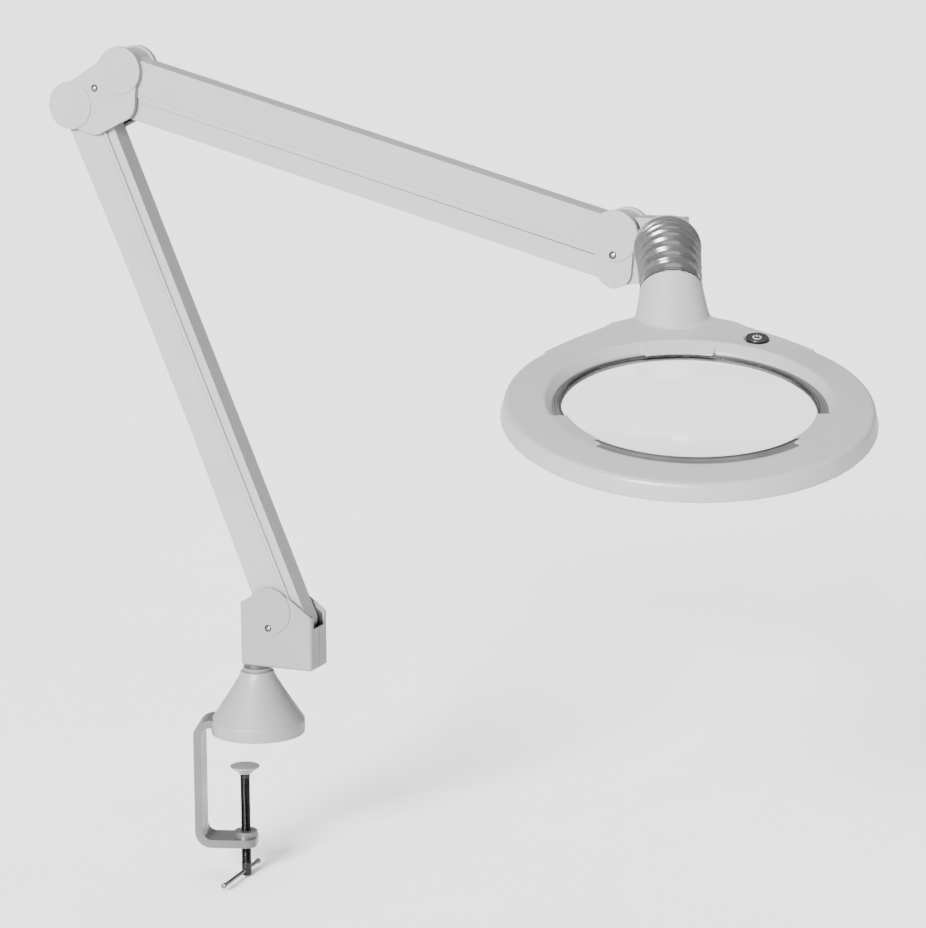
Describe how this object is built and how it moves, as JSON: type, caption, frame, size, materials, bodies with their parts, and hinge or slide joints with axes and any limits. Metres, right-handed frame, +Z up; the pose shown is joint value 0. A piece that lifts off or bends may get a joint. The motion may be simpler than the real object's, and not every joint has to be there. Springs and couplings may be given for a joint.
{
  "type": "magnifying lamp",
  "caption": "Bench magnifier lamp: table clamp, spring-balanced link arms, a bellows joint and a lit ring head around a round lens.",
  "frame": {"origin": "centre of the jaw pad's underside, where it rests on the table top, on the base swivel axis", "axes": "+Z up along the base swivel axis; +X the side the head reaches to; both arms move in the XZ plane at rest"},
  "size_m": [0.6728, 0.3225, 0.6217],
  "materials": {
    "base_cone": "satin",
    "base_core": "dark zinc",
    "base_pin": "turned",
    "base_pivots": "turned",
    "base_screws": "bright",
    "base_shell_back": "satin",
    "base_shell_front": "satin",
    "bellows": "smooth moulded",
    "button_switch": "matte",
    "clamp_frame": "satin cast",
    "clamp_screw": "black oxide",
    "diffuser": "frosted",
    "elbow_core": "dark zinc",
    "elbow_pivots": "turned",
    "elbow_screws": "bright",
    "elbow_shell_back": "satin",
    "elbow_shell_front": "satin",
    "frame_bolt": "zinc plated",
    "head_core": "painted die casting",
    "head_housing": "satin",
    "head_pivots": "turned",
    "head_screws": "bright",
    "head_shell_back": "satin",
    "head_shell_front": "satin",
    "jaw_pad": "matte",
    "jaw_plate": "zinc plated",
    "jaw_screws": "zinc plated",
    "led_board": "solder mask",
    "led_cover": "satin",
    "lens": "polished",
    "lens_gasket": "matte",
    "lens_ring": "matte",
    "lower_channel": "fine satin texture",
    "lower_link_channel": "fine satin texture",
    "lower_spring": "drawn wire",
    "neck_tongue": "die cast",
    "power_button": "gloss",
    "pressure_pad": "satin",
    "roll_retainer": "zinc plated",
    "socket_tube": "plain",
    "swivel_bush": "satin",
    "swivel_knuckle": "die cast",
    "swivel_pin": "turned",
    "tilt_pin": "turned",
    "tilt_yoke": "die cast",
    "tommy_bar": "plated",
    "upper_channel": "fine satin texture",
    "upper_link_channel": "fine satin texture",
    "upper_spring": "drawn wire"
  },
  "bodies": {
    "clamp": {"clamp_frame": "clamp_frame", "base_cone": "base_cone", "socket_tube": "socket_tube", "swivel_bush": "swivel_bush", "frame_bolt": "frame_bolt", "jaw_plate": "jaw_plate", "jaw_pad": "jaw_pad", "jaw_screws": "jaw_screws"},
    "clamp_pad": {"pressure_pad": "pressure_pad"},
    "clamp_screw": {"clamp_screw": "clamp_screw"},
    "tommy_bar": {"tommy_bar": "tommy_bar"},
    "base_bracket": {"base_pin": "base_pin", "base_shell_front": "base_shell_front", "base_shell_back": "base_shell_back", "base_core": "base_core", "base_pivots": "base_pivots", "base_screws": "base_screws"},
    "lower_arm": {"lower_channel": "lower_channel", "lower_spring": "lower_spring"},
    "lower_link": {"lower_link_channel": "lower_link_channel"},
    "elbow": {"elbow_shell_front": "elbow_shell_front", "elbow_shell_back": "elbow_shell_back", "elbow_core": "elbow_core", "elbow_pivots": "elbow_pivots", "elbow_screws": "elbow_screws"},
    "upper_arm": {"upper_channel": "upper_channel", "upper_spring": "upper_spring"},
    "upper_link": {"upper_link_channel": "upper_link_channel"},
    "head_bracket": {"head_shell_front": "head_shell_front", "head_shell_back": "head_shell_back", "head_core": "head_core", "head_pivots": "head_pivots", "head_screws": "head_screws", "swivel_pin": "swivel_pin"},
    "head_swivel": {"swivel_knuckle": "swivel_knuckle", "roll_retainer": "roll_retainer"},
    "head_roll": {"tilt_yoke": "tilt_yoke", "tilt_pin": "tilt_pin", "bellows": "bellows"},
    "head": {"head_housing": "head_housing", "neck_tongue": "neck_tongue", "lens": "lens", "lens_gasket": "lens_gasket", "lens_ring": "lens_ring", "led_cover": "led_cover", "diffuser": "diffuser", "led_board": "led_board", "button_switch": "button_switch"},
    "power_button": {"power_button": "power_button"}
  },
  "joints": [
    {"name": "screw_turn", "type": "hinge", "parent": "clamp_pad", "child": "clamp_screw", "pos_m": [-0.0101, -0.00352, -0.07], "axis": [0, 0, 1], "range_deg": [-12600, 5112]},
    {"name": "pad_travel", "type": "slide", "parent": "clamp", "child": "clamp_pad", "axis": [0, 0, 1], "range_m": [-0.0437, 0.0177]},
    {"name": "tommy_slide", "type": "slide", "parent": "clamp_screw", "child": "tommy_bar", "axis": [-0.0628, 0.998, 0], "range_m": [-0.0154, 0.0359]},
    {"name": "base_swivel", "type": "hinge", "parent": "clamp", "child": "base_bracket", "pos_m": [0, 0, 0.04], "axis": [0, 0, 1], "continuous": true},
    {"name": "lower_lift", "type": "hinge", "parent": "base_bracket", "child": "lower_arm", "pos_m": [0.0176, 0, 0.0975], "axis": [0, -1, 0], "range_deg": [-50, 8], "deforming": ["lower_spring"]},
    {"name": "lower_link_turn", "type": "hinge", "parent": "base_bracket", "child": "lower_link", "pos_m": [0.0376, 0, 0.089], "axis": [0, -1, 0], "range_deg": [-50.5, 8.5]},
    {"name": "elbow_level", "type": "hinge", "parent": "lower_arm", "child": "elbow", "pos_m": [-0.13972, 0, 0.46526], "axis": [0, -1, 0], "range_deg": [-8.5, 50.5]},
    {"name": "upper_lift", "type": "hinge", "parent": "elbow", "child": "upper_arm", "pos_m": [-0.09812, 0, 0.49136], "axis": [0, -1, 0], "range_deg": [-25, 40], "deforming": ["upper_spring"]},
    {"name": "upper_link_turn", "type": "hinge", "parent": "elbow", "child": "upper_link", "pos_m": [-0.09812, 0, 0.46736], "axis": [0, -1, 0], "range_deg": [-25.5, 40.5]},
    {"name": "head_level", "type": "hinge", "parent": "upper_arm", "child": "head_bracket", "pos_m": [0.28776, 0, 0.38602], "axis": [0, -1, 0], "range_deg": [-40.5, 25.5]},
    {"name": "head_yaw", "type": "hinge", "parent": "head_bracket", "child": "head_swivel", "pos_m": [0.32, 0, 0.3788], "axis": [0, 0, 1], "range_deg": [-24, 120]},
    {"name": "head_twist", "type": "hinge", "parent": "head_swivel", "child": "head_roll", "pos_m": [0.32, 0, 0.3788], "axis": [0.4115, -0.9114, 0], "range_deg": [-50, 50]},
    {"name": "head_tilt", "type": "hinge", "parent": "head_roll", "child": "head", "pos_m": [0.33193, -0.02643, 0.3788], "axis": [0.9114, 0.4115, 0], "range_deg": [-45, 35], "deforming": ["bellows"]},
    {"name": "button_press", "type": "slide", "parent": "head", "child": "power_button", "axis": [-0.112, 0.2482, -0.9622], "range_m": [0, 0.0008], "stiffness_N_per_m": 1500, "springref_m": -0.0004}
  ],
  "couplings": [
    {"joint": "screw_turn", "follows": "pad_travel", "rad_per_m": 5026.5},
    {"joint": "lower_link_turn", "follows": "lower_lift", "ratio": 1},
    {"joint": "elbow_level", "follows": "lower_lift", "ratio": -1},
    {"joint": "upper_link_turn", "follows": "upper_lift", "ratio": 1},
    {"joint": "head_level", "follows": "upper_lift", "ratio": -1}
  ]
}
